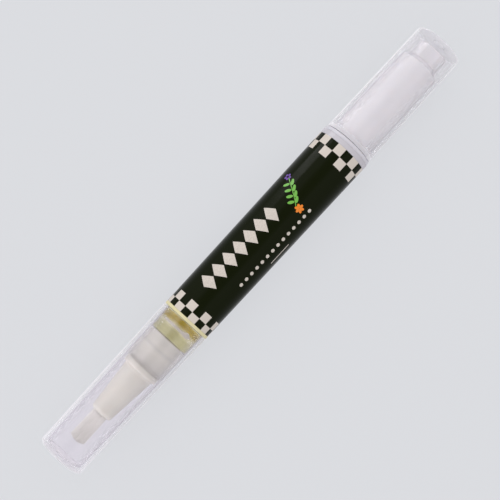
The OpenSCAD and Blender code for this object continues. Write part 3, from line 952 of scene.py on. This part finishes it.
CAMERA_HEIGHT = 319 * MM
CAMERA_X = -21 * MM
AIM_X = -0.63 * MM
AIM_Y = 0.11 * MM
PEN_ANGLE = math.radians(47.4)
FOCAL_PIXELS = 1319.3
FRAME_PIXELS = 500

camera = add_object("camera", bpy.data.cameras.new("camera"))
bpy.context.scene.camera = camera
camera.data.lens = camera.data.sensor_width * FOCAL_PIXELS / FRAME_PIXELS
camera.data.clip_start = 10 * MM
place = Vector((CAMERA_X, 0, AXIS_Z + CAMERA_HEIGHT))
cos_a, sin_a = math.cos(PEN_ANGLE), math.sin(PEN_ANGLE)
aim = Vector((AIM_X, AIM_Y, AXIS_Z))
back = (place - aim).normalized()
along = (Vector((1, 0, 0)) - back * back.x).normalized()
across = back.cross(along)
right = cos_a * along - sin_a * across
up = sin_a * along + cos_a * across
camera.matrix_world = Matrix.Translation(place) @ Matrix((right, up, back)).transposed().to_4x4()


# Floor, world and lamp

PAPER = (0.7, 0.71, 0.74)
PAPER_GLOW = 0.86
FLOOR_HALF = 3
SKY_LIGHT = [(0, 0.94), (0.6, 1.32), (0.88, 1.32), (0.96, 0.6), (1, 0.5)]
SIDE_LIGHT = [(0, 0.72), (0.4, 0.92), (0.65, 1.02), (1, 1.02)]
SOFTBOX_PLACE = (0.1, 0.51, 0.17)
SOFTBOX_AIM = (0, 0, 0)
SOFTBOX_SIZE = (0.04, 0.34)
SOFTBOX_LIGHT = 0.09


def floor():
    """A plain pale floor, partly shown by its own light to keep the shadow faint."""
    half = FLOOR_HALF
    mesh = bpy.data.meshes.new("floor")
    mesh.from_pydata(
        [(-half, -half, 0), (half, -half, 0), (half, half, 0), (-half, half, 0)], [], [(0, 1, 2, 3)]
    )
    piece = add_object("floor", mesh)
    material, tree_nodes, links, shader = start_material("floor_paper")
    number = partial(calculate, tree_nodes, links)
    shader.inputs["Base Color"].default_value = (*PAPER, 1)
    shader.inputs["Roughness"].default_value = 0.9
    shader.inputs["Specular IOR Level"].default_value = 0
    glow = tree_nodes.new("ShaderNodeEmission")
    glow.inputs["Color"].default_value = (*PAPER, 1)
    path = tree_nodes.new("ShaderNodeLightPath")
    seen = path.outputs["Is Camera Ray"]
    for ray in ("Is Glossy Ray", "Is Transmission Ray"):
        seen = number("MAXIMUM", seen, path.outputs[ray])
    share = number("MULTIPLY", seen, PAPER_GLOW)
    surface = mix_shaders(
        tree_nodes, links, share, shader.outputs["BSDF"], glow.outputs["Emission"]
    )
    links.new(surface, tree_nodes["Material Output"].inputs["Surface"])
    mesh.materials.append(material)


def sky():
    """A soft white room: dimmer near the floor, dimmest overhead, and dim on the side of -Y."""
    world = bpy.data.worlds.new("studio")
    bpy.context.scene.world = world
    world.use_nodes = True
    tree_nodes, links = world.node_tree.nodes, world.node_tree.links
    way = tree_nodes.new("ShaderNodeSeparateXYZ")
    links.new(tree_nodes.new("ShaderNodeTexCoord").outputs["Generated"], way.inputs["Vector"])
    side = calculate(tree_nodes, links, "MULTIPLY_ADD", way.outputs["Y"], 0.5, 0.5)
    background = tree_nodes["Background"]
    links.new(
        ramp(tree_nodes, links, way.outputs["Z"], greys(SKY_LIGHT)), background.inputs["Color"]
    )
    links.new(ramp(tree_nodes, links, side, greys(SIDE_LIGHT)), background.inputs["Strength"])


def softbox(name, place, aim_at, size, light):
    """Area lamp, not seen through glass, that adds a share of white to a surface that faces it."""
    lamp = bpy.data.lights.new(name, "AREA")
    lamp.shape = "RECTANGLE"
    lamp.size, lamp.size_y = size
    distance = (Vector(place) - Vector(aim_at)).length
    lamp.energy = light * (math.pi * distance) ** 2
    made = add_object(name, lamp)
    made.location = place
    made.visible_transmission = False
    made.rotation_mode = "QUATERNION"
    made.rotation_quaternion = (Vector(place) - Vector(aim_at)).to_track_quat("Z", "Y")


floor()
sky()
softbox("side_softbox", SOFTBOX_PLACE, SOFTBOX_AIM, SOFTBOX_SIZE, SOFTBOX_LIGHT)

bpy.context.scene.view_settings.view_transform = "Standard"
